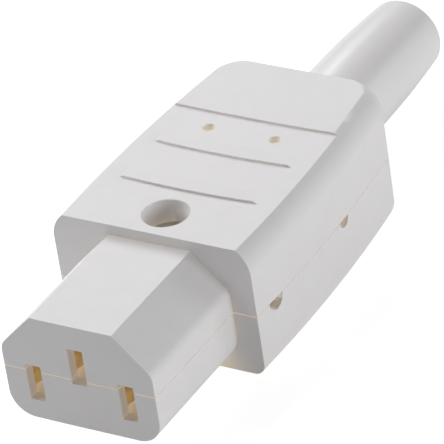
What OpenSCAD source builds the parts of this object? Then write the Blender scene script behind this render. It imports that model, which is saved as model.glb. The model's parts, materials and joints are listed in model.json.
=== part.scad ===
// Rewirable C13 cable connector for data centre power cords. Millimetres, +Z up.
// Origin: centre of the mating face. The nose points to -Y, the cord leaves to +Y.

/* [Mating nose] */
// Width of the nose
nose_w = 22.8; // [22:0.1:27.4]
// Height of the nose
nose_h = 16; // [15.4:0.1:17.6]
// Length of the nose, from its face to the front of the body
nose_len = 20.2; // [17:0.1:26]
// Leg of the two bevels along the top of the nose
nose_bevel = 5.2; // [3:0.1:6]
// Radius where each bevel runs into the side of the nose
bevel_blend_r = 2.4; // [0.5:0.1:3]
// Radius of the two bottom corners of the nose
nose_corner_r = 3.6; // [1:0.1:4]
// Thickness of the wall that the contact slots pass through
face_wall = 1.6; // [1:0.1:2.5]

/* [Contact pattern] */
// Distance between the live and neutral slots
pin_pitch = 14; // [13.6:0.1:14.4]
// Height of the earth slot above the other two
earth_rise = 4; // [3.6:0.1:4.4]
// Depth of the live and neutral slots below the centre of the face
slot_drop = 2.4; // [2:0.1:2.8]
// Width of a slot
slot_w = 2.4; // [2.2:0.1:2.8]
// Height of a slot
slot_h = 5.5; // [4.8:0.1:6]
// Width of the chamber behind a slot
chamber_w = 5; // [4.6:0.1:5.2]
// Height of the chamber behind a slot
chamber_h = 6.6; // [6.2:0.1:7]

/* [Body] */
// Greatest width of the body
body_w = 30.5; // [29.8:0.1:36]
// Height of the flat top above the centre of the face
body_top = 9.6; // [9.3:0.1:11.5]
// Depth of the flat underside below the centre of the face
body_bottom = 9.8; // [9.5:0.1:11.7]
// Depth of the parting plane of the two halves below the centre of the face
split_drop = 0.55; // [0.3:0.05:0.6]
// Shadow line left between the two halves along their outer rims
split_line = 0.1; // [0.05:0.01:0.2]
// Radius of the bowed sides, seen from above
bow_r = 240; // [200:10:800]
// Distance from the front of the body to its widest place
bow_setback = 10; // [0:0.1:20]
// Radius of the soft shoulder round the top
shoulder_r = 5; // [4.5:0.1:6]
// Height of the shoulder, measured down from the flat top
shoulder_h = 3.9; // [2:0.1:4.2]
// Radius of the edge round the underside
underside_r = 1.8; // [0.5:0.1:3]
// Radius of the rear corners, seen from above
corner_r = 6.2; // [5.1:0.1:7]
// Wall thickness of the halves
wall = 2; // [1.6:0.1:2.2]
// Thickness of the front wall of the body
front_wall = 2.2; // [1.8:0.1:2.6]
// Thickness of the rear wall of the body
rear_wall = 2.6; // [2:0.1:3]

/* [Top of the body] */
// Height of the step up to the rear panel
panel_step = 0.35; // [0.1:0.05:0.8]
// Distance from the front of the body to the step
panel_setback = 28.5; // [26:0.1:33]
// Height of a grip ridge
ridge_h = 0.35; // [0.1:0.05:0.8]
// Length of a grip ridge, front to rear
ridge_len = 3.2; // [2:0.1:4]
// Run of the slopes at the rear and both ends of a grip ridge
ridge_slope = 0.7; // [0.2:0.1:1]
// Width of a grip ridge
ridge_w = 21.3; // [12:0.1:22]
// Distance from the front of the body to the first grip ridge
ridge_setback = 10.2; // [9.5:0.1:12]
// Distance from one grip ridge to the next
ridge_pitch = 9.2; // [6:0.1:10]
// How far the ridges and the step bow forward in the middle
ridge_bow = 0.4; // [0.1:0.05:1]
// Diameter of the two small pits
pit_d = 1.7; // [1:0.1:2.5]
// Depth of the two small pits
pit_depth = 0.9; // [0.3:0.1:1.4]
// Distance between the two small pits
pit_pitch = 10.2; // [6:0.1:16]
// Distance from the step forward to the pits
pit_gap = 3.3; // [1.5:0.1:4]

/* [Side notches] */
// Diameter of the front half-round notches at the parting plane
notch_front_d = 3.3; // [2:0.1:4]
// Diameter of the rear half-round notches at the parting plane
notch_rear_d = 2.4; // [1.5:0.1:3.5]
// Distance from the front of the body to the front notches
notch_front_setback = 4.8; // [3:0.1:8]
// Distance from the front of the body to the rear notches
notch_rear_setback = 24.3; // [14:0.1:30]

/* [Closing screw] */
// Distance from the front of the body to the closing screw
boss_setback = 4.9; // [4.7:0.1:6]
// Nominal diameter of the closing screw
closing_d = 3; // [2.5:0.5:3]
// Diameter of its cheese head
closing_head_d = 5.6; // [5:0.1:6]
// Height of its cheese head
closing_head_h = 2; // [1.5:0.1:2.4]
// Depth of the head seat below the flat top
closing_seat = 5.2; // [4.2:0.1:5.6]
// Width across the flats of its hexagon nut
nut_af = 5.5; // [5:0.1:5.8]
// Height of its hexagon nut
nut_h = 2.4; // [1.8:0.1:2.6]

/* [Contacts] */
// Thickness of the contact sheet
sheet_t = 0.6; // [0.4:0.05:0.7]
// Height of the spring leaves
leaf_h = 4; // [3.4:0.1:4.4]
// Length of the spring leaves
leaf_len = 14.6; // [10:0.1:15]
// Gap between the leaves where they grip the pin
grip_gap = 1.6; // [1.2:0.1:1.9]
// Gap between the leaves at their root
root_gap = 2.4; // [2.1:0.1:2.8]
// Width of the tail that runs into the terminal block
tail_w = 3.4; // [2.4:0.1:3.5]
// Height of the earth strip that passes the boss of the closing screw
strip_h = 3; // [2:0.1:3.2]

/* [Terminals] */
// Width of a terminal block
block_w = 5.6; // [5.2:0.1:5.9]
// Length of a terminal block
block_len = 7; // [5:0.1:7.4]
// Height of a terminal block
block_h = 6.6; // [6.2:0.1:7]
// Thickness of the block below its wire opening
block_floor = 1; // [0.8:0.1:1.2]
// Width of the wire opening through a block
wire_w = 3.7; // [3.6:0.1:4]
// Height of the wire opening through a block
wire_h = 3.7; // [3:0.1:4]
// Distance from the centre plane to the live and neutral blocks
block_x = 8.7; // [8.6:0.1:8.9]
// Diameter of a terminal screw
clamp_d = 3; // [2.5:0.1:3]
// Diameter of the head of a terminal screw
clamp_head_d = 4.6; // [4:0.1:5]
// Height of the head of a terminal screw
clamp_head_h = 1.6; // [1.2:0.1:1.8]
// How far a terminal screw stands open, ready for a wire
clamp_lift = 0.6; // [0.2:0.1:0.8]

/* [Cord clamp] */
// Diameter of the cord that the clamp is made for
cord_d = 7.6; // [6:0.1:8.4]
// Width of the clamp strap along the cord
strap_w = 6; // [5:0.1:7]
// Thickness of the clamp strap
strap_t = 2.1; // [1.5:0.1:2.2]
// Distance from the centre plane to the strap screws
strap_screw_x = 8.4; // [8.2:0.1:9]
// Diameter of the strap screws
strap_screw_d = 2.6; // [2.2:0.1:2.9]
// Diameter of the heads of the strap screws
strap_head_d = 5; // [4.2:0.1:5.2]
// Height of the heads of the strap screws
strap_head_h = 1.8; // [1.4:0.1:2]
// Clear length between the earth terminal and the strap
wire_room = 7.5; // [5:0.1:9]
// Clear length between the strap and the web that holds the boot
boot_room = 3.7; // [2:0.1:5]

/* [Bend relief boot] */
// Length of the boot outside the body
boot_len = 27.2; // [18:0.1:30]
// Greatest diameter of the boot
boot_belly_d = 12.7; // [12:0.1:14]
// Distance from the body to the widest place of the boot
boot_belly_setback = 10; // [4:0.1:14]
// Radius of the swelling of the boot, seen from above
boot_swell_r = 185; // [150:5:600]
// How far the axis of the boot lies below the parting plane
boot_drop = 0.6; // [0:0.05:0.8]
// Bore of the boot
boot_bore_d = 8; // [6.4:0.1:8.4]
// Diameter of the neck that passes through the rear wall
boot_neck_d = 10.6; // [9.8:0.1:11]
// Diameter of the flange that holds the boot inside the body
boot_flange_d = 14; // [12:0.1:14.4]
// Thickness of the flange
boot_flange_t = 2; // [1.4:0.1:2.6]
// Radius of the flare where the boot meets the body
boot_flare_r = 0.8; // [0.4:0.1:1.2]
// Radius of the rounded rim at the free end
boot_rim_r = 1.1; // [0.3:0.1:1.2]

/* [Hidden] */

cut = 0.5;            // how far a cutter runs past the face that it opens
fit = 0.1;            // clearance between pieces that slide together
thread_fit = 0.05;    // clearance between a modelled screw and its plain hole
round_fn = 64;        // facets of small rounds
bow_fn = 1440;        // facets of the very large radii

// Levels
split_z = -split_drop;
boot_z = split_z - boot_drop;
slot_z = -slot_drop;
earth_z = slot_z + earth_rise;
slot_x = pin_pitch / 2;
shoulder_z = body_top - shoulder_h;
panel_z = body_top + panel_step;
ceiling_z = body_top - wall;
floor_z = -body_bottom + wall;

// Front of the body and its closing screw
body_y = nose_len;
cavity_y = body_y + front_wall;
boss_y = body_y + boss_setback;
boss_wall = 1.2;
head_hole_d = closing_head_d + 0.8;
head_seat_z = body_top - closing_seat;
shank_hole_d = closing_d + 0.4;
cup_d = head_hole_d + 2 * boss_wall;
cup_z = head_seat_z - boss_wall;
pillar_d = shank_hole_d + 2 * boss_wall + 0.2;
nut_recess = 0.2;
nut_z = -body_bottom + nut_recess;
nut_pocket_d = (nut_af + 2 * fit) / cos(30);
nut_base_d = nut_pocket_d + 2 * boss_wall;
nut_base_z = nut_z + nut_h + boss_wall;

// Contacts: spring leaves in the nose, tails into the terminals
leaf_y = face_wall + 0.5;
leaf_end_y = leaf_y + leaf_len;
grip_y = leaf_y + 0.18 * leaf_len;
root_y = leaf_y + 0.55 * leaf_len;
mouth_flare = 0.9;
chamber_end_y = leaf_end_y + 0.5;
tail_gap = 0.15;
strip_x = (pillar_d + sheet_t) / 2 + 0.35;

// Live and neutral terminals stand beside the boss, the earth terminal stands behind it
block_y = cavity_y + 3.4;
block_z = slot_z - leaf_h / 2 - sheet_t - block_floor;
earth_block_y = boss_y + cup_d / 2 + 4.4;
earth_block_z = block_z + earth_rise;
stop_t = 0.8;
stop_drop = 0.6;
tail_end_gap = 0.6;
barrier_t = 0.8;
barrier_x = slot_x - tail_w / 2 - tail_gap - barrier_t;
barrier_top_z = cup_z - 0.8;
barrier_end_y = earth_block_y + block_len;

// Cord clamp
strap_y = barrier_end_y + wire_room + strap_w / 2;
strap_half = strap_screw_x + strap_head_d / 2 + 0.3;
post_d = strap_screw_d + 2.6;
post_hole_len = 6;
saddle_t = 1.2;
arch_r = cord_d / 2;

// Boot and rear wall; the rim of the boot crosses its swelled side at a faint crease
web_t = 1.2;
cavity_end_y = strap_y + strap_w / 2 + boot_room;
flange_y = cavity_end_y + web_t;
rear_wall_y = flange_y + boot_flange_t + fit;
body_end_y = rear_wall_y + rear_wall;
web_hole_d = boot_bore_d + 1.4;
rim_blend = 0.01;

// Plan of the bowed sides: two large arcs, and rear corners that meet them at a faint crease
edge_blend = 0.03;
corner_blend = 0.05;
corner_core = 0.5;
bow_y = body_y + bow_setback;
bow_x = bow_r - body_w / 2;
corner_y = body_end_y - corner_r + corner_blend;
corner_angle = asin((corner_y - bow_y) / (bow_r - corner_r));
corner_x = -bow_x + (bow_r - corner_r + corner_blend) * cos(corner_angle);
corner_reach = 2 * corner_r;

// Locating pegs between the halves
peg_d = 2.4;
peg_len = 3;
peg_x = (boot_flange_d / 2 + fit + corner_x + corner_r) / 2;
peg_y = corner_y + 1.6;

shell_white = [0.90, 0.89, 0.88];
boot_white = [0.94, 0.94, 0.94];
brass = [0.80, 0.68, 0.38];
steel = [0.72, 0.72, 0.70];
strap_white = [0.82, 0.81, 0.79];

// ---- Helpers -------------------------------------------------------------------

// A box between two corners
module slab(low, high) {
  translate(low) cube(high - low);
}

// Carries a flat XZ outline along Y
module along_y(y0, y1) {
  translate([0, y1, 0]) rotate([90, 0, 0]) linear_extrude(y1 - y0) children();
}

// Carries a flat YZ outline along X, centred on x = 0
module along_x(length) {
  translate([-length / 2, 0, 0]) rotate([90, 0, 90]) linear_extrude(length) children();
}

// A round bar along Y through [x, z]
module bar_y(d, x, z, y0, y1) {
  translate([x, y1, z]) rotate([90, 0, 0]) cylinder(d = d, h = y1 - y0, $fn = round_fn);
}

// A round bar along Z through [x, y]
module bar_z(d, x, y, z0, z1) {
  translate([x, y, z0]) cylinder(d = d, h = z1 - z0, $fn = round_fn);
}

// Repeats a right-hand feature on the left
module both_sides() {
  children();
  mirror([1, 0, 0]) children();
}

// Radius of an arc that bows by rise over a chord
function bow_radius(chord, rise) = (chord * chord / 4 + rise * rise) / (2 * rise);

// Radius of the swelled side of the boot at a distance from the body
function boot_radius(reach) =
  let (run = reach - boot_belly_setback)
  boot_belly_d / 2 - boot_swell_r + sqrt(boot_swell_r * boot_swell_r - run * run);

// Unit normal, to the right of the way from a to b
function normal_of(a, b) = [b[1] - a[1], a[0] - b[0]] / norm(b - a);

// Normal at point i of a path, lengthened at a bend so that the sheet keeps its thickness
function mitre(p, i) =
  let (
    n0 = normal_of(p[max(i - 1, 0)], p[max(i, 1)]),
    n1 = normal_of(p[min(i, len(p) - 2)], p[min(i + 1, len(p) - 1)])
  )
  (n0 + n1) / (1 + n0 * n1);

// Edge of a sheet of thickness t that is bent along a path
module sheet(path, t) {
  last = len(path) - 1;
  polygon(concat(
    [for (i = [0:last]) path[i] + mitre(path, i) * t / 2],
    [for (i = [last:-1:0]) path[i] - mitre(path, i) * t / 2]
  ));
}

// ---- Outer form ----------------------------------------------------------------

// Outline of the nose: bevels at the top, large rounds at the bottom
module nose_outline() {
  half_w = nose_w / 2;
  half_h = nose_h / 2;
  side_z = half_h - nose_bevel;
  blend = bevel_blend_r * tan(22.5);
  polygon([
    [-half_w + nose_corner_r, -half_h], [half_w - nose_corner_r, -half_h],
    [half_w, -half_h + nose_corner_r], [half_w, side_z - blend],
    [half_w - blend * cos(45), side_z + blend * sin(45)], [half_w - nose_bevel, half_h],
    [-half_w + nose_bevel, half_h], [-half_w + blend * cos(45), side_z + blend * sin(45)],
    [-half_w, side_z - blend], [-half_w, -half_h + nose_corner_r]
  ]);
  both_sides() {
    translate([half_w - nose_corner_r, -half_h + nose_corner_r])
      circle(r = nose_corner_r, $fn = round_fn);
    translate([half_w - bevel_blend_r, side_z - blend]) circle(r = bevel_blend_r, $fn = round_fn);
  }
}

// Section of the body's edge, with the side of the body at x = 0 and its inside at x < 0.
// Each round meets the flats at a faint crease, edge_blend beyond the point of tangency.
module edge_section(depth) {
  low_z = underside_r - body_bottom;
  intersection() {
    translate([-depth, -body_bottom]) square([depth, body_bottom + panel_z]);
    union() {
      translate([-depth, -2 * body_bottom]) square([depth - shoulder_r, 4 * body_bottom]);
      translate([-shoulder_r - cut, -2 * body_bottom])
        square([shoulder_r + cut - underside_r, body_bottom * 2]);
      translate([-shoulder_r - cut, low_z]) square([2 * shoulder_r, shoulder_z - low_z]);
      translate([edge_blend - underside_r, low_z - edge_blend])
        circle(r = underside_r, $fn = round_fn);
      translate([edge_blend - shoulder_r, shoulder_z]) circle(r = shoulder_r, $fn = 2 * round_fn);
    }
  }
}

// Everything inside the bowed right-hand side of the body
module side_form() {
  sweep = 2 * asin((body_end_y - body_y) / bow_r);
  translate([-bow_x, bow_y, 0]) rotate([0, 0, -sweep / 2])
    rotate_extrude(angle = sweep, $fn = bow_fn)
      translate([bow_r, 0]) edge_section(body_w + 4);
}

// What the rear right-hand corner loses to its rounding
module corner_waste() {
  height = body_bottom + panel_z;
  difference() {
    translate([corner_x, corner_y, -body_bottom - cut]) linear_extrude(height + 2 * cut)
      polygon([
        [0, 0], corner_reach * [cos(corner_angle), sin(corner_angle)],
        [corner_reach, corner_reach], [0, corner_reach]
      ]);
    translate([corner_x, corner_y, 0]) {
      rotate_extrude($fn = 2 * round_fn)
        translate([corner_r, 0]) edge_section(corner_r - corner_core / 2);
      translate([0, 0, -body_bottom]) cylinder(r = corner_core, h = height, $fn = round_fn);
    }
  }
}

// The body without its top features, at the height of the rear panel all over
module body_blank() {
  difference() {
    intersection() {
      side_form();
      mirror([1, 0, 0]) side_form();
      along_x(body_w + 2) translate([body_end_y, 0]) edge_section(body_end_y - body_y);
    }
    both_sides() corner_waste();
  }
}

// A large upright disc whose front edge bows forward to y0 in the middle
module bowed_front(y0, chord, z0, z1) {
  r = bow_radius(chord, ridge_bow);
  translate([0, y0 + r, z0]) cylinder(r = r, h = z1 - z0, $fn = bow_fn);
}

// The top in front of the step lies lower than the rear panel
module step_waste() {
  difference() {
    slab([-body_w, body_y - cut, body_top], [body_w, corner_y, panel_z + cut]);
    bowed_front(body_y + panel_setback, body_w, body_top - cut, panel_z + 2 * cut);
  }
}

// A grip ridge: a low bar, steep at the front and sloped at its rear and both ends
module grip_ridge(y0) {
  half_w = ridge_w / 2;
  flat_y = ridge_len - ridge_slope;
  intersection() {
    along_x(ridge_w) translate([y0, body_top])
      polygon([
        [0, -cut], [0, ridge_h], [flat_y, ridge_h], [ridge_len, 0], [ridge_len, -cut]
      ]);
    along_y(y0, y0 + ridge_len) translate([0, body_top])
      polygon([
        [-half_w, -cut], [-half_w, 0], [ridge_slope - half_w, ridge_h],
        [half_w - ridge_slope, ridge_h], [half_w, 0], [half_w, -cut]
      ]);
    bowed_front(y0, ridge_w, body_top - 2 * cut, body_top + 2 * ridge_h);
  }
}

// The whole outer form, before it is split and hollowed
module outer_form() {
  difference() {
    body_blank();
    step_waste();
  }
  along_y(0, body_y + cut) nose_outline();
  for (i = [0, 1]) grip_ridge(body_y + ridge_setback + i * ridge_pitch);
}

// ---- Cutters that both halves share ----------------------------------------------

// Room for the wires and terminals, with the bowed sides a wall inside the outer ones
module wiring_room(z0, z1) {
  intersection() {
    both_inner_arcs(z0, z1);
    slab([-body_w, cavity_y, z0], [body_w, cavity_end_y, z1]);
  }
}

module both_inner_arcs(z0, z1) {
  intersection() {
    translate([-bow_x, bow_y, z0]) cylinder(r = bow_r - wall, h = z1 - z0, $fn = bow_fn);
    translate([bow_x, bow_y, z0]) cylinder(r = bow_r - wall, h = z1 - z0, $fn = bow_fn);
  }
}

// A slot in the face and the chamber behind it
module contact_way(x, z) {
  slab([x - slot_w / 2, -cut, z - slot_h / 2], [x + slot_w / 2, face_wall + cut, z + slot_h / 2]);
  slab([x - chamber_w / 2, face_wall, z - chamber_h / 2],
       [x + chamber_w / 2, chamber_end_y, z + chamber_h / 2]);
}

module contact_ways() {
  both_sides() contact_way(slot_x, slot_z);
  contact_way(0, earth_z);
}

// The way of the boot through the rear wall, its flange groove and the web's hole
module boot_way() {
  bar_y(web_hole_d, 0, boot_z, cavity_end_y - cut, flange_y + cut);
  bar_y(boot_flange_d + 2 * fit, 0, boot_z, flange_y, rear_wall_y);
  bar_y(boot_neck_d + 2 * fit, 0, boot_z, rear_wall_y - cut, body_end_y + cut);
}

// ---- Upper half -------------------------------------------------------------------

// Way of the earth strip out of its chamber, widened on the side where it passes the boss
module earth_strip_way() {
  slab([-chamber_w / 2, chamber_end_y - cut, split_z - cut],
       [strip_x + sheet_t / 2 + 0.4, cavity_y + cut, earth_z + leaf_h / 2 + 0.2]);
}

module upper_shell() {
  color(shell_white) difference() {
    union() {
      difference() {
        intersection() {
          outer_form();
          slab([-body_w, -cut, split_z + split_line], [body_w, body_end_y + cut, panel_z + cut]);
        }
        wiring_room(split_z - cut, ceiling_z);
        contact_ways();
        earth_strip_way();
        boot_way();
        both_sides() bar_z(pit_d, pit_pitch / 2, body_y + panel_setback - pit_gap,
                           body_top - pit_depth, panel_z + cut);
      }
      bar_z(cup_d, 0, boss_y, cup_z, body_top - cut);
      bar_z(pillar_d, 0, boss_y, split_z, head_seat_z);
      both_sides() bar_z(peg_d, peg_x, peg_y, split_z - peg_len, split_z + 2);
    }
    bar_z(head_hole_d, 0, boss_y, head_seat_z, panel_z + cut);
    bar_z(shank_hole_d, 0, boss_y, split_z - cut, head_seat_z + cut);
  }
}

// ---- Lower half -------------------------------------------------------------------

// Way of a live or neutral tail from its chamber into the wiring room
module tail_way() {
  slab([slot_x - tail_w / 2 - tail_gap, chamber_end_y - cut, slot_z - leaf_h / 2 - sheet_t - fit],
       [slot_x + tail_w / 2 + tail_gap, cavity_y + cut, split_z + cut]);
}

// Pad under a terminal block, with a stop in front of it and one behind it
module block_rest(x, y, z) {
  half = block_w / 2;
  slab([x - half + 0.6, y, floor_z - cut], [x + half - 0.6, y + block_len, z]);
  for (stop_y = [y - stop_t - fit, y + block_len + fit])
    slab([x - half, stop_y, floor_z - cut], [x + half, stop_y + stop_t, z + block_floor - stop_drop]);
}

// Wall that keeps the live and neutral wires away from the earth strip
module barrier() {
  slab([barrier_x, cavity_y - cut, floor_z - cut], [barrier_x + barrier_t, barrier_end_y, split_z]);
  slab([barrier_x, cavity_y + fit, split_z - cut], [barrier_x + barrier_t, barrier_end_y, barrier_top_z]);
}

// Rail along the outer side of a live or neutral block
module outer_rail() {
  rail_x = block_x + block_w / 2 + fit;
  slab([rail_x, block_y, floor_z - cut], [rail_x + stop_t, block_y + block_len, slot_z]);
}

// Two notched ribs that the cord lies on, between the posts for the strap
module cord_saddle() {
  reach = strap_y + strap_w / 2;
  difference() {
    for (y = [reach - strap_w, reach - saddle_t])
      slab([-strap_screw_x, y, floor_z - cut], [strap_screw_x, y + saddle_t, split_z]);
    bar_y(cord_d, 0, split_z, reach - strap_w - cut, reach + cut);
  }
  both_sides() bar_z(post_d, strap_screw_x, strap_y, floor_z - cut, split_z);
}

module lower_shell() {
  post_hole_d = strap_screw_d + 2 * thread_fit;
  color(shell_white) difference() {
    union() {
      difference() {
        intersection() {
          outer_form();
          slab([-body_w, -cut, -body_bottom - cut], [body_w, body_end_y + cut, split_z]);
        }
        wiring_room(floor_z, split_z + cut);
        contact_ways();
        both_sides() tail_way();
        boot_way();
        both_sides() {
          bar_z(peg_d + 2 * fit, peg_x, peg_y, split_z - peg_len - 0.4, split_z + cut);
          side_notch(notch_front_d, notch_front_setback);
          side_notch(notch_rear_d, notch_rear_setback);
        }
      }
      bar_z(nut_base_d, 0, boss_y, floor_z - cut, nut_base_z);
      bar_z(pillar_d, 0, boss_y, floor_z - cut, split_z);
      block_rest(0, earth_block_y, earth_block_z);
      both_sides() {
        block_rest(block_x, block_y, block_z);
        barrier();
        outer_rail();
      }
      cord_saddle();
    }
    bar_z(shank_hole_d, 0, boss_y, nut_z, split_z + cut);
    translate([0, boss_y, -body_bottom - cut])
      cylinder(d = nut_pocket_d, h = cut + nut_recess + nut_h, $fn = 6);
    both_sides() bar_z(post_hole_d, strap_screw_x, strap_y, split_z - post_hole_len, split_z + cut);
  }
}

// A half-round notch through the side wall, under the parting plane
module side_notch(d, setback) {
  translate([body_w / 2 - 2 * wall, body_y + setback, split_z]) rotate([0, 90, 0])
    cylinder(d = d, h = 3 * wall, $fn = round_fn);
}

// ---- Fasteners --------------------------------------------------------------------

// A cheese-head screw that points down, with the seat of its head at z = 0
module slotted_screw(d, len, head_d, head_h) {
  slot_t = 0.16 * head_d;
  difference() {
    union() {
      cylinder(d = head_d, h = head_h, $fn = round_fn);
      translate([0, 0, -len]) cylinder(d = d, h = len + head_h / 2, $fn = round_fn);
    }
    slab([-head_d, -slot_t / 2, head_h * 0.5], [head_d, slot_t / 2, head_h + cut]);
  }
}

module closing_screw() {
  tip_gap = 0.4;
  color(steel) translate([0, boss_y, head_seat_z]) rotate([0, 0, 35])
    slotted_screw(closing_d, head_seat_z - nut_z - tip_gap, closing_head_d, closing_head_h);
}

module closing_nut() {
  color(steel) translate([0, boss_y, nut_z]) difference() {
    cylinder(d = nut_af / cos(30), h = nut_h, $fn = 6);
    translate([0, 0, -cut])
      cylinder(d = closing_d + 2 * thread_fit, h = nut_h + 2 * cut, $fn = round_fn);
  }
}

// ---- Contacts and terminals ---------------------------------------------------------

// Middle line of the right-hand spring leaf, in plan
function leaf_path() = let (half = sheet_t / 2) [
  [grip_gap / 2 + half + mouth_flare, leaf_y],
  [grip_gap / 2 + half, grip_y],
  [root_gap / 2 + half, root_y],
  [root_gap / 2 + half, leaf_end_y]
];

// The sprung part of a contact, with the bottom of its leaves at z = 0
module spring_leaves() {
  linear_extrude(leaf_h) both_sides() sheet(leaf_path(), sheet_t);
  slab([-root_gap / 2 - sheet_t, root_y, -sheet_t], [root_gap / 2 + sheet_t, leaf_end_y, 0]);
}

// Contact whose tail steps sideways to its terminal block
module line_contact() {
  jog_y = cavity_y + 0.2;
  jog_end_y = block_y - stop_t;
  color(brass) translate([0, 0, slot_z - leaf_h / 2]) {
    translate([slot_x, 0, 0]) spring_leaves();
    translate([0, 0, -sheet_t]) linear_extrude(sheet_t)
      polygon([
        for (x = [-tail_w / 2, tail_w / 2]) for (p = [
          [slot_x + x, leaf_end_y - cut], [slot_x + x, jog_y], [block_x + x, jog_end_y],
          [block_x + x, block_y + block_len - tail_end_gap]
        ]) p
      ], [[0, 1, 2, 3, 7, 6, 5, 4]]);
  }
}

module live_contact() line_contact();
module neutral_contact() mirror([1, 0, 0]) line_contact();

// The earth contact's right leaf runs on as an upright strip round the boss to its terminal
module earth_contact() {
  root_x = (root_gap + sheet_t) / 2;
  clear = pillar_d / 2 + 0.4;
  fold_y = earth_block_y - 1.8;
  end_y = earth_block_y + block_len - tail_end_gap;
  color(brass) translate([0, 0, earth_z - leaf_h / 2]) {
    spring_leaves();
    linear_extrude(strip_h) sheet([
      [root_x, leaf_end_y - cut], [root_x, leaf_end_y], [strip_x, body_y - 0.2],
      [strip_x, boss_y + clear], [root_x, fold_y], [root_x, earth_block_y - fit]
    ], sheet_t);
    slab([-tail_w / 2, fold_y, -sheet_t], [root_x + sheet_t / 2, end_y, 0]);
  }
}

// A pillar terminal: a brass block with an arched wire opening and a screw hole in its roof
module terminal_block(x, y, z) {
  color(brass) difference() {
    slab([x - block_w / 2, y, z], [x + block_w / 2, y + block_len, z + block_h]);
    along_y(y - cut, y + block_len + cut) translate([x, z + block_floor]) {
      translate([-wire_w / 2, 0]) square([wire_w, wire_h - wire_w / 2]);
      translate([0, wire_h - wire_w / 2]) circle(d = wire_w, $fn = round_fn);
    }
    bar_z(clamp_d + 2 * thread_fit, x, y + block_len / 2, z + block_floor + wire_h / 2, z + block_h + cut);
  }
}

module live_terminal() terminal_block(block_x, block_y, block_z);
module neutral_terminal() terminal_block(-block_x, block_y, block_z);
module earth_terminal() terminal_block(0, earth_block_y, earth_block_z);

// The screw of a terminal block, standing open; turn is where its slot points
module terminal_screw(x, y, z, turn) {
  roof = block_h - block_floor - wire_h;
  color(steel) translate([x, y + block_len / 2, z + block_h + clamp_lift]) rotate([0, 0, turn])
    slotted_screw(clamp_d, clamp_lift + roof + 0.8, clamp_head_d, clamp_head_h);
}

module live_terminal_screw() terminal_screw(block_x, block_y, block_z, 20);
module neutral_terminal_screw() terminal_screw(-block_x, block_y, block_z, -50);
module earth_terminal_screw() terminal_screw(0, earth_block_y, earth_block_z, 75);

// ---- Cord clamp ---------------------------------------------------------------------

module cord_clamp() {
  y0 = strap_y - strap_w / 2;
  color(strap_white) difference() {
    along_y(y0, y0 + strap_w) difference() {
      union() {
        translate([-strap_half, split_z]) square([2 * strap_half, strap_t]);
        translate([0, split_z]) circle(r = arch_r + strap_t, $fn = round_fn);
      }
      translate([0, split_z]) circle(r = arch_r, $fn = round_fn);
      translate([-strap_half, split_z - 2 * arch_r]) square([2 * strap_half, 2 * arch_r]);
    }
    both_sides() bar_z(strap_screw_d + 4 * fit, strap_screw_x, strap_y, split_z - cut,
                       split_z + strap_t + cut);
  }
}

module strap_screw(x, turn) {
  color(steel) translate([x, strap_y, split_z + strap_t]) rotate([0, 0, turn])
    slotted_screw(strap_screw_d, strap_t + post_hole_len - 0.6, strap_head_d, strap_head_h);
}

module cord_clamp_screw_left() strap_screw(-strap_screw_x, 15);
module cord_clamp_screw_right() strap_screw(strap_screw_x, -65);

// ---- Bend relief boot ----------------------------------------------------------------

// Half section of the boot: x is the radius, y runs along the connector
module boot_section() {
  belly_r = boot_belly_d / 2;
  belly_y = body_end_y + boot_belly_setback;
  boot_end_y = body_end_y + boot_len;
  flare_x = boot_radius(0) + boot_flare_r;
  flare_y = body_end_y + boot_flare_r;
  rim_x = boot_radius(boot_len - boot_rim_r) + rim_blend - boot_rim_r;
  rim_y = boot_end_y - boot_rim_r;
  difference() {
    union() {
      translate([0, flange_y]) square([boot_flange_d / 2, boot_flange_t]);
      translate([0, flange_y]) square([boot_neck_d / 2, body_end_y - flange_y + cut]);
      intersection() {
        translate([belly_r - boot_swell_r, belly_y]) circle(r = boot_swell_r, $fn = bow_fn);
        union() {
          translate([0, body_end_y]) square([2 * belly_r, boot_len - boot_rim_r]);
          translate([0, body_end_y]) square([rim_x, boot_len]);
          translate([rim_x, rim_y]) circle(r = boot_rim_r, $fn = round_fn);
        }
      }
      difference() {
        translate([0, body_end_y]) square([flare_x, boot_flare_r]);
        translate([flare_x, flare_y]) circle(r = boot_flare_r, $fn = round_fn);
      }
    }
    translate([-cut, flange_y - cut]) square([boot_bore_d / 2 + cut, boot_end_y - flange_y + 2 * cut]);
  }
}

module bend_relief_boot() {
  color(boot_white) translate([0, 0, boot_z]) rotate([-90, 0, 0])
    rotate_extrude($fn = 2 * round_fn) boot_section();
}

upper_shell();
lower_shell();
closing_screw();
closing_nut();
live_contact();
neutral_contact();
earth_contact();
live_terminal();
neutral_terminal();
earth_terminal();
live_terminal_screw();
neutral_terminal_screw();
earth_terminal_screw();
cord_clamp();
cord_clamp_screw_left();
cord_clamp_screw_right();
bend_relief_boot();
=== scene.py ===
# %% [markdown]
# # A rewirable C13 connector
# The connector arrives as a imported CAD model: seventeen plain pieces, each at its true place and
# size. This lesson gives it its looks.

import json
import math

import bmesh
import bpy
from mathutils import Matrix, Vector


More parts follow.
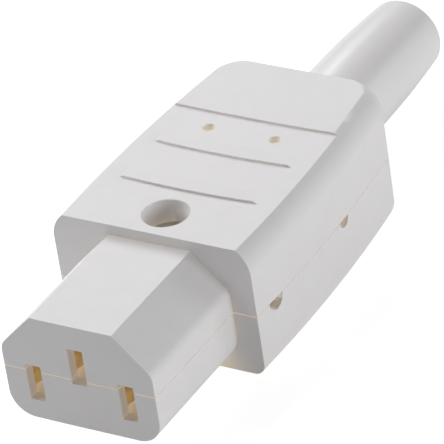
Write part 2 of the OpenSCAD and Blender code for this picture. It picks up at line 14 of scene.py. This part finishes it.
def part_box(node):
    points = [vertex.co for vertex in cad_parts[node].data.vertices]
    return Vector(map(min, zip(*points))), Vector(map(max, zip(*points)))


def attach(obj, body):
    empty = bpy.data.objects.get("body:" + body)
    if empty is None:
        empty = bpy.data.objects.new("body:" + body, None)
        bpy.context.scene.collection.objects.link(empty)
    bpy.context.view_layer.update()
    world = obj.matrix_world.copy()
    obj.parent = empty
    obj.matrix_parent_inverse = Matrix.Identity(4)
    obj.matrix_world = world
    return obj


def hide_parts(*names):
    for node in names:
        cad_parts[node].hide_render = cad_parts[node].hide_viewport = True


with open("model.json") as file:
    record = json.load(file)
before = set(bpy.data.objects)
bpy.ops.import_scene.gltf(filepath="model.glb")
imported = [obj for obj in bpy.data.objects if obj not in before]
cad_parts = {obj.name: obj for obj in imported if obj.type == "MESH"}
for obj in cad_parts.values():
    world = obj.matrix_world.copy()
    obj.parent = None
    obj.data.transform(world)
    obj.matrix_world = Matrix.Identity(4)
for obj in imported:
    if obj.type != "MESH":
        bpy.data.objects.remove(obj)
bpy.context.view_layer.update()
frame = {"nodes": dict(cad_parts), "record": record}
nodes = frame["nodes"]
MM = 0.001
print("pieces:", len(nodes))

# %% [markdown]
# ## The camera
# A product of this size is best seen from about half a metre with a long lens, so that its edges
# stay nearly parallel. The camera looks down on the mating face from the right, and it is rolled a
# little, which makes the connector run steeply up through the frame. It could be turned by hand or
# by a constraint. Here its place follows from three angles and a distance, and its matrix is put
# together from the camera's own right, up and back, so that every value can be read.

# %% Place the camera
AZIMUTH = math.radians(34.435)
ELEVATION = math.radians(32.622)
ROLL = math.radians(-8.859)
DISTANCE = 581.747 * MM
TARGET = Vector((5.176, 30.0, 6.154)) * MM
SENSOR_WIDTH = 36.0
LENS = 358.74
NEAREST = 0.01

back = Vector((
    math.sin(AZIMUTH) * math.cos(ELEVATION),
    -math.cos(AZIMUTH) * math.cos(ELEVATION),
    math.sin(ELEVATION),
))
level = Vector((0, 0, 1)).cross(back).normalized()
upright = back.cross(level)
right = level * math.cos(ROLL) + upright * math.sin(ROLL)
up = upright * math.cos(ROLL) - level * math.sin(ROLL)

camera_data = bpy.data.cameras.new("camera")
camera_data.sensor_width = SENSOR_WIDTH
camera_data.lens = LENS
camera_data.clip_start = NEAREST
camera = bpy.data.objects.new("camera", camera_data)
bpy.context.collection.objects.link(camera)
placing = Matrix((right, up, back)).transposed().to_4x4()
placing.translation = TARGET + back * DISTANCE
camera.matrix_world = placing
bpy.context.scene.camera = camera
print("camera at", [round(value, 3) for value in camera.location])

# %% [markdown]
# ## Shader groups
# An effect that several materials share is built once, as a group with named inputs and outputs.
# `shader_group` makes an empty group, `add` makes a node in it and sets its inputs by name,
# `join` links two sockets and `maths` makes one sum. A Mix node has its sockets for colors at
# fixed places in its lists, so those places get names here.

# %% Helpers for shader nodes
MIX_FACTOR = 0
MIX_FIRST = 6
MIX_SECOND = 7
MIX_RESULT = 2


def shader_group(name, inputs, outputs):
    group = bpy.data.node_groups.new(name, "ShaderNodeTree")
    for label, value in inputs.items():
        kind = "NodeSocketColor" if isinstance(value, tuple) else "NodeSocketFloat"
        socket = group.interface.new_socket(name=label, in_out="INPUT", socket_type=kind)
        socket.default_value = value
    for label, kind in outputs.items():
        group.interface.new_socket(name=label, in_out="OUTPUT", socket_type=kind)
    start = group.nodes.new("NodeGroupInput")
    end = group.nodes.new("NodeGroupOutput")
    return group, start, end


def add(tree, kind, settings=None, **values):
    node = tree.nodes.new(kind)
    for key, value in (settings or {}).items():
        setattr(node, key, value)
    for label, value in values.items():
        node.inputs[label.replace("_", " ")].default_value = value
    return node


def join(tree, source, target):
    tree.links.new(source, target)


def maths(tree, operation, first, second):
    node = add(tree, "ShaderNodeMath", {"operation": operation})
    for socket, value in zip(node.inputs, (first, second)):
        if isinstance(value, (int, float)):
            socket.default_value = value
        else:
            join(tree, value, socket)
    return node.outputs[0]


# %% [markdown]
# **Moulded grain.** The mould of the housing is spark eroded, which leaves an even, very fine
# grain. It is far too small to be modelled, so it is bump: a fine noise makes the height, and a
# slow noise makes the tone drift a little from place to place, as plastic does where it filled the
# mould. `Scale` is in waves per metre.

# %% Group: moulded grain
grain, start, end = shader_group(
    "moulded_grain",
    {"Scale": 5200.0, "Low Roughness": 0.45, "High Roughness": 0.6, "Drift": 0.03},
    {"Height": "NodeSocketFloat", "Roughness": "NodeSocketFloat", "Tone": "NodeSocketFloat"},
)
place = add(grain, "ShaderNodeTexCoord").outputs["Object"]
fine = add(grain, "ShaderNodeTexNoise", Detail=3.0, Roughness=0.55)
join(grain, place, fine.inputs["Vector"])
join(grain, start.outputs["Scale"], fine.inputs["Scale"])
SLOW_SHARE = 0.06
slow = add(grain, "ShaderNodeTexNoise", Detail=2.0, Roughness=0.5)
join(grain, place, slow.inputs["Vector"])
join(grain, maths(grain, "MULTIPLY", start.outputs["Scale"], SLOW_SHARE), slow.inputs["Scale"])
join(grain, fine.outputs[0], end.inputs["Height"])
spread = add(grain, "ShaderNodeMapRange")
join(grain, fine.outputs[0], spread.inputs["Value"])
join(grain, start.outputs["Low Roughness"], spread.inputs["To Min"])
join(grain, start.outputs["High Roughness"], spread.inputs["To Max"])
join(grain, spread.outputs[0], end.inputs["Roughness"])
both = maths(grain, "ADD", fine.outputs[0], slow.outputs[0])
swing = maths(grain, "MULTIPLY", maths(grain, "SUBTRACT", both, 1.0), start.outputs["Drift"])
join(grain, maths(grain, "ADD", swing, 1.0), end.inputs["Tone"])
print("group:", grain.name)

# %% [markdown]
# ** Painted recess light.** White plastic lets a little light through. In a slot or a screw hole most of the light has passed through the walls or bounced between them, and each time it has lost a little blue, so a recess looks warm. This group paints that light and shade into the colour. It measures how closed in a point is, within `Reach`, and mixes the base colour towards `Painted Recess Color` there, which is a painted warm shade. `Painted Glow` carries the same color to the emission as a painted glow, for the light that comes through the walls. Real subsurface light would show it too, but slowly and with noise.

# %% Group: painted recess light
painted_recess_group, start, end = shader_group(
    "painted_recess_light",
    {"Color": (0.8, 0.8, 0.8, 1), "Painted Recess Color": (0.8, 0.6, 0.4, 1), "Tone": 1.0, "Reach": 0.004},
    {"Color": "NodeSocketColor", "Painted Glow": "NodeSocketColor"},
)
OPEN_ENOUGH = 0.55
FULLY_SHUT = 0.15
openness = add(painted_recess_group, "ShaderNodeAmbientOcclusion", {"samples": 6})
join(painted_recess_group, start.outputs["Reach"], openness.inputs["Distance"])
depth = add(painted_recess_group, "ShaderNodeMapRange", From_Min=OPEN_ENOUGH, From_Max=FULLY_SHUT)
join(painted_recess_group, openness.outputs["AO"], depth.inputs["Value"])
toned = add(painted_recess_group, "ShaderNodeVectorMath", {"operation": "SCALE"})
join(painted_recess_group, start.outputs["Color"], toned.inputs[0])
join(painted_recess_group, start.outputs["Tone"], toned.inputs["Scale"])
# Painted shade: where a point is closed in, the base colour is mixed towards the warm recess
# colour.
painted_tint = add(painted_recess_group, "ShaderNodeMix", {"data_type": "RGBA"})
join(painted_recess_group, depth.outputs[0], painted_tint.inputs[MIX_FACTOR])
join(painted_recess_group, toned.outputs[0], painted_tint.inputs[MIX_FIRST])
join(painted_recess_group, start.outputs["Painted Recess Color"], painted_tint.inputs[MIX_SECOND])
join(painted_recess_group, painted_tint.outputs[MIX_RESULT], end.inputs["Color"])
# Painted glow: the same recess colour goes to the emission, so recesses glow though no lamp is
# there.
painted_glow = add(painted_recess_group, "ShaderNodeVectorMath", {"operation": "SCALE"})
join(painted_recess_group, start.outputs["Painted Recess Color"], painted_glow.inputs[0])
join(painted_recess_group, depth.outputs[0], painted_glow.inputs["Scale"])
join(painted_recess_group, painted_glow.outputs[0], end.inputs["Painted Glow"])
print("group:", painted_recess_group.name)

# %% [markdown]
# **Metal marks.** Stamped brass and zinc plated steel are never even. An image could carry their
# marks, but noise needs no unwrapped surface. A stretched noise gives the fine lines of rolling or
# turning, and a slow noise gives dulled patches that are rougher and darker.

# %% Group: metal marks
marks, start, end = shader_group(
    "metal_marks",
    {
        "Color": (0.8, 0.65, 0.35, 1),
        "Dull Color": (0.5, 0.4, 0.2, 1),
        "Scale": 900.0,
        "Low Roughness": 0.22,
        "High Roughness": 0.45,
    },
    {"Color": "NodeSocketColor", "Roughness": "NodeSocketFloat", "Height": "NodeSocketFloat"},
)
place = add(marks, "ShaderNodeTexCoord").outputs["Object"]
ALONG_THE_STRIP = (6.0, 1.0, 6.0)
PATCH_SHARE = 0.5
stretch = add(marks, "ShaderNodeMapping", Scale=ALONG_THE_STRIP)
join(marks, place, stretch.inputs["Vector"])
lines = add(marks, "ShaderNodeTexNoise", Detail=3.0, Roughness=0.6)
join(marks, stretch.outputs[0], lines.inputs["Vector"])
join(marks, start.outputs["Scale"], lines.inputs["Scale"])
patch = add(marks, "ShaderNodeTexNoise", Detail=2.0, Roughness=0.5)
join(marks, place, patch.inputs["Vector"])
join(marks, maths(marks, "MULTIPLY", start.outputs["Scale"], PATCH_SHARE), patch.inputs["Scale"])
dulled = add(marks, "ShaderNodeMapRange", From_Min=0.45, From_Max=0.7)
join(marks, patch.outputs[0], dulled.inputs["Value"])
blend = add(marks, "ShaderNodeMix", {"data_type": "RGBA"})
join(marks, dulled.outputs[0], blend.inputs[MIX_FACTOR])
join(marks, start.outputs["Color"], blend.inputs[MIX_FIRST])
join(marks, start.outputs["Dull Color"], blend.inputs[MIX_SECOND])
join(marks, blend.outputs[MIX_RESULT], end.inputs["Color"])
rough = add(marks, "ShaderNodeMapRange")
join(marks, maths(marks, "MAXIMUM", dulled.outputs[0], lines.outputs[0]), rough.inputs["Value"])
join(marks, start.outputs["Low Roughness"], rough.inputs["To Min"])
join(marks, start.outputs["High Roughness"], rough.inputs["To Max"])
join(marks, rough.outputs[0], end.inputs["Roughness"])
join(marks, lines.outputs[0], end.inputs["Height"])
print("group:", marks.name)

# %% [markdown]
# ## Plastics
# The housing, the boot and the cord clamp are white plastics that differ only in grain and gloss:
# the boot is smooth and soft, and the housing is matt and hard. One function joins the grain and
# the painted recess light for all three. That light is a painted warm shade in the base colour of
# the recesses, and on the housing also a painted glow in the emission. Constants such as the index
# of refraction are set on the shader's own sockets. `depth` is the height of the grain in metres.


# %% Plastics
def plastic(name, color, painted_recess_color, scale, rough, drift, depth, painted_glow=0.0):
    material = bpy.data.materials.new(name)
    material.use_nodes = True
    tree = material.node_tree
    shader = tree.nodes["Principled BSDF"]
    surface = add(tree, "ShaderNodeGroup", {"node_tree": grain})
    surface.inputs["Scale"].default_value = scale
    surface.inputs["Low Roughness"].default_value = rough[0]
    surface.inputs["High Roughness"].default_value = rough[1]
    surface.inputs["Drift"].default_value = drift
    # Painted recess light: the base colour is tinted warm in recesses, and the emission gets a
    # painted glow.
    painted_recess_node = add(tree, "ShaderNodeGroup", {"node_tree": painted_recess_group})
    painted_recess_node.inputs["Color"].default_value = (*color, 1)
    painted_recess_node.inputs["Painted Recess Color"].default_value = (*painted_recess_color, 1)
    join(tree, surface.outputs["Tone"], painted_recess_node.inputs["Tone"])
    join(tree, painted_recess_node.outputs["Color"], shader.inputs["Base Color"])
    join(tree, painted_recess_node.outputs["Painted Glow"], shader.inputs["Emission Color"])
    shader.inputs["Emission Strength"].default_value = painted_glow
    join(tree, surface.outputs["Roughness"], shader.inputs["Roughness"])
    bump = add(tree, "ShaderNodeBump", Strength=1.0, Distance=depth)
    join(tree, surface.outputs["Height"], bump.inputs["Height"])
    join(tree, bump.outputs["Normal"], shader.inputs["Normal"])
    shader.inputs["IOR"].default_value = 1.5
    return material


# The housing alone also gets a painted glow in its recesses, at an emission strength of 0.3.
shell_plastic = plastic(
    "shell_plastic",
    color=(0.80, 0.785, 0.79),
    painted_recess_color=(0.80, 0.70, 0.56),
    scale=5200,
    rough=(0.50, 0.66),
    drift=0.05,
    depth=0.000012,
    painted_glow=0.3,
)
boot_plastic = plastic(
    "boot_plastic",
    color=(0.82, 0.805, 0.81),
    painted_recess_color=(0.76, 0.68, 0.58),
    scale=3000,
    rough=(0.30, 0.38),
    drift=0.02,
    depth=0.000002,
)
strap_plastic = plastic(
    "strap_plastic",
    color=(0.76, 0.74, 0.72),
    painted_recess_color=(0.70, 0.60, 0.48),
    scale=5200,
    rough=(0.45, 0.6),
    drift=0.05,
    depth=0.000008,
)
print("plastics:", shell_plastic.name, boot_plastic.name, strap_plastic.name)

# %% [markdown]
# ## Metals
# The contacts are stamped from bright brass, the terminals are turned from a redder one, and the
# screws and the nut are steel with a thin coat of zinc. All take the marks group, each with its
# own two colors and its own range of roughness.


# %% Metals
def metal(name, color, dull, scale, rough, depth):
    material = bpy.data.materials.new(name)
    material.use_nodes = True
    tree = material.node_tree
    shader = tree.nodes["Principled BSDF"]
    surface = add(tree, "ShaderNodeGroup", {"node_tree": marks})
    surface.inputs["Color"].default_value = (*color, 1)
    surface.inputs["Dull Color"].default_value = (*dull, 1)
    surface.inputs["Scale"].default_value = scale
    surface.inputs["Low Roughness"].default_value = rough[0]
    surface.inputs["High Roughness"].default_value = rough[1]
    join(tree, surface.outputs["Color"], shader.inputs["Base Color"])
    join(tree, surface.outputs["Roughness"], shader.inputs["Roughness"])
    bump = add(tree, "ShaderNodeBump", Strength=1.0, Distance=depth)
    join(tree, surface.outputs["Height"], bump.inputs["Height"])
    join(tree, bump.outputs["Normal"], shader.inputs["Normal"])
    shader.inputs["Metallic"].default_value = 1.0
    return material


contact_brass = metal(
    "contact_brass",
    color=(0.86, 0.70, 0.38),
    dull=(0.62, 0.46, 0.22),
    scale=900,
    rough=(0.20, 0.42),
    depth=0.000004,
)
terminal_brass = metal(
    "terminal_brass",
    color=(0.83, 0.66, 0.34),
    dull=(0.60, 0.44, 0.20),
    scale=1500,
    rough=(0.24, 0.45),
    depth=0.000006,
)
zinc_steel = metal(
    "zinc_steel",
    color=(0.72, 0.70, 0.63),
    dull=(0.52, 0.50, 0.42),
    scale=1300,
    rough=(0.22, 0.48),
    depth=0.000005,
)
finishes = {
    "shell_plastic": shell_plastic,
    "boot_plastic": boot_plastic,
    "strap_plastic": strap_plastic,
    "contact_brass": contact_brass,
    "terminal_brass": terminal_brass,
    "zinc_steel": zinc_steel,
}
print("metals:", contact_brass.name, terminal_brass.name, zinc_steel.name)

# %% [markdown]
# ## Finishes of the CAD pieces
# The record says which material slot each piece belongs to. Every piece that stays as it is gets
# its material here, and the pieces that replace one further down read the same table.

# %% Give each CAD piece its material
slot_of = {part["node"]: part["material_slot"] for part in frame["record"]["subparts"]}
for name, node in nodes.items():
    finish = finishes[slot_of[name]]
    for holder in node.material_slots:
        holder.material = finish
    print(name, "->", finish.name)

# %% [markdown]
# ## Soft edges on the housing
# A moulded edge is never knife sharp. A Bevel modifier would round every edge alike, and here only
# some may change, so the two halves are copied, their triangles are merged back into flat faces,
# and chosen edges are rounded in passes. `clamp_overlap` stops a round where the next edge is
# near. Weighted normals keep the flat faces flat under smooth shading.

# %% Helpers for pieces
MERGE_REACH = 1e-7
FLAT_WITHIN = math.radians(0.2)
SHARP_FROM = math.radians(36)
ROUND_FROM = math.radians(38)


def plain_object(name, mesh):
    made = bpy.data.objects.new(name, mesh)
    bpy.context.collection.objects.link(made)
    return made


def merged_copy(node):
    shape = bmesh.new()
    shape.from_mesh(nodes[node].data)
    bmesh.ops.remove_doubles(shape, verts=shape.verts, dist=MERGE_REACH)
    bmesh.ops.dissolve_limit(
        shape, angle_limit=FLAT_WITHIN, verts=shape.verts, edges=shape.edges
    )
    return shape


def finish_piece(name, shape, node):
    mesh = bpy.data.meshes.new(name)
    shape.to_mesh(mesh)
    shape.free()
    mesh.shade_smooth()
    mesh.set_sharp_from_angle(angle=SHARP_FROM)
    mesh.materials.append(finishes[slot_of[node]])
    piece = plain_object(name, mesh)
    weigh = piece.modifiers.new("weigh", "WEIGHTED_NORMAL")
    weigh.keep_sharp = True
    bpy.context.view_layer.update()
    graph = bpy.context.evaluated_depsgraph_get()
    weighed = bpy.data.meshes.new_from_object(piece.evaluated_get(graph))
    piece.modifiers.clear()
    piece.data = weighed
    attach(piece, "root")
    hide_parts(node)
    print(name, len(weighed.polygons), "faces")


def round_edges(shape, width, steps, here):
    chosen = []
    for edge in shape.edges:
        if not edge.is_manifold or not edge.is_convex:
            continue
        if edge.calc_face_angle(0) < ROUND_FROM:
            continue
        middle = (edge.verts[0].co + edge.verts[1].co) / 2 / MM
        if here(middle):
            chosen.append(edge)
    bmesh.ops.bevel(
        shape,
        geom=chosen,
        offset=width * MM,
        segments=steps,
        profile=0.5,
        affect="EDGES",
        clamp_overlap=True,
    )
    return len(chosen)


# %% [markdown]
# **Choosing the edges.** Each test takes the middle of an edge, in millimetres, and says whether it
# lies on one part of the housing. The mating face has a field with the three slots in its middle
# and its own rim round that. The screw hole is found from the closing screw that it holds.

# %% Where the edges are, in millimetres
ON_PLANE = 0.01
SLOT_FIELD_X = 9.0
SLOT_FIELD_Z = 6.2
BODY_FRONT = 20.2
BODY_RIM_X = 12.8
BODY_RIM_Z = 8.7
BEVEL_START = 0.6
BEVEL_END = BODY_FRONT - 0.1
BEVEL_LOW = 7.0
HOLE_REACH = 5.0
TOP_DEPTH = 0.5
closing_low, closing_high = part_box("closing_screw")
hole_y = (closing_low[1] + closing_high[1]) / 2 / MM
body_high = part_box("upper_shell")[1][2] / MM


def on_nose_rim(spot):
    outer = abs(spot.x) > SLOT_FIELD_X or abs(spot.z) > SLOT_FIELD_Z
    return abs(spot.y) < ON_PLANE and outer


def on_body_rim(spot):
    outer = abs(spot.x) > BODY_RIM_X or abs(spot.z) > BODY_RIM_Z
    return abs(spot.y - BODY_FRONT) < ON_PLANE and outer


def on_nose_bevel(spot):
    along = BEVEL_START < spot.y < BEVEL_END
    return along and spot.z > BEVEL_LOW and abs(spot.x) < BODY_RIM_X


def on_screw_hole(spot):
    from_axis = math.hypot(spot.x, spot.y - hole_y)
    return on_top(spot) and from_axis < HOLE_REACH


def on_top(spot):
    return spot.z > body_high - TOP_DEPTH


def on_slot_rim(spot):
    inner = abs(spot.x) < SLOT_FIELD_X and abs(spot.z) < SLOT_FIELD_Z
    return abs(spot.y) < ON_PLANE and inner


def on_front(spot):
    return on_nose_rim(spot) or on_body_rim(spot) or on_nose_bevel(spot)


print("screw hole at y =", round(hole_y, 2), "mm, top at z =", round(body_high, 2), "mm")

# %% [markdown]
# **Rounding.** The widest rounds come first, because they need whole edges to run along: the rims
# of nose and body with the bevels of the nose. Then come the screw hole, the rims of the slots, and
# last the small edges of the top. Each pass gives a width in millimetres and a number of segments.
# The finished halves replace the CAD pieces and ride on the same body.

# %% Round both halves
passes = [
    (0.35, 3, on_front),
    (0.25, 2, on_screw_hole),
    (0.12, 2, on_slot_rim),
    (0.10, 1, on_top),
]
for node in ("upper_shell", "lower_shell"):
    half_shape = merged_copy(node)
    for width, steps, here in passes:
        print(node, here.__name__, round_edges(half_shape, width, steps, here), "edges")
    finish_piece("soft_" + node, half_shape, node)

# %% [markdown]
# ## Floor
# The connector lies on its flat underside, so the floor is at the lowest level of the body. More
# light would make a pale floor white, but it would wash out the white plastic as well. So the floor
# is a wide grey sheet that glows for the camera, and it still keeps the soft shadow.

# %% Floor
FLOOR_HALF = 3.0
FLOOR_GREY = 0.42
FLOOR_GLOW = 0.3
FLOOR_GLOW_SEEN = 0.85
floor_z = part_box("lower_shell")[0][2]
corners = [
    (-FLOOR_HALF, -FLOOR_HALF, floor_z),
    (FLOOR_HALF, -FLOOR_HALF, floor_z),
    (FLOOR_HALF, FLOOR_HALF, floor_z),
    (-FLOOR_HALF, FLOOR_HALF, floor_z),
]
floor_mesh = bpy.data.meshes.new("floor")
floor_mesh.from_pydata(corners, [], [(0, 1, 2, 3)])
floor = plain_object("floor", floor_mesh)

floor_material = bpy.data.materials.new("floor_white")
floor_material.use_nodes = True
tree = floor_material.node_tree
shader = tree.nodes["Principled BSDF"]
shader.inputs["Base Color"].default_value = (FLOOR_GREY, FLOOR_GREY, FLOOR_GREY, 1)
shader.inputs["Roughness"].default_value = 0.9
shader.inputs["Specular IOR Level"].default_value = 0.0
shader.inputs["Emission Color"].default_value = (1, 1, 1, 1)
path = add(tree, "ShaderNodeLightPath")
strength = add(tree, "ShaderNodeMapRange", To_Min=FLOOR_GLOW, To_Max=FLOOR_GLOW_SEEN)
join(tree, path.outputs["Is Camera Ray"], strength.inputs["Value"])
join(tree, strength.outputs[0], shader.inputs["Emission Strength"])
floor_mesh.materials.append(floor_material)
print("floor at z =", round(floor_z / MM, 2), "mm")

# %% [markdown]
# ## World
# Behind the floor stands nothing, so the world is the backdrop. It is plain white to the camera,
# and it gives the object hardly any light, because the lamps do that.

# %% World
WORLD_FILL = 0.02
world = bpy.data.worlds.new("studio")
bpy.context.scene.world = world
world.use_nodes = True
tree = world.node_tree
background = tree.nodes["Background"]
background.inputs["Color"].default_value = (1, 1, 1, 1)
path = add(tree, "ShaderNodeLightPath")
strength = maths(tree, "MAXIMUM", path.outputs["Is Camera Ray"], WORLD_FILL)
join(tree, strength, background.inputs["Strength"])
print("world:", world.name)

# %% [markdown]
# ## Lamps
# Soft light from large panels keeps the shadows pale. The five lamps stand a metre from the middle
# of the housing and face it. Those on the left are high and make the top the brightest surface,
# those on the right are low and light the side, and a weak one in front lifts the mating face.
# Each has a turn round the upright axis and a height, both in degrees, and a power in watts.

# %% Lamps
LAMP_SIZE = 0.5
lamp_centre = Vector((0.0, 0.032, 0.0))


def soft_lamp(name, place, power):
    data = bpy.data.lights.new(name, "AREA")
    data.shape = "RECTANGLE"
    data.size = LAMP_SIZE
    data.size_y = LAMP_SIZE
    data.energy = power
    lamp = bpy.data.objects.new(name, data)
    bpy.context.collection.objects.link(lamp)
    lamp.location = place
    lamp.rotation_euler = (place - lamp_centre).to_track_quat("Z", "Y").to_euler()


lamps = [
    ("lamp_left", 180, 40, 5.6),
    ("lamp_rear_left", 135, 40, 4.5),
    ("lamp_right", 0, 12, 4.7),
    ("lamp_rear_right", 45, 12, 1.6),
    ("lamp_front_left", 230, 30, 2.0),
]
for name, turn, height, power in lamps:
    turn = math.radians(turn)
    height = math.radians(height)
    flat = math.cos(height)
    aim = Vector((math.cos(turn) * flat, math.sin(turn) * flat, math.sin(height)))
    soft_lamp(name, lamp_centre + aim, power)
    print(name, power, "W")

bpy.context.scene.view_settings.view_transform = "Standard"
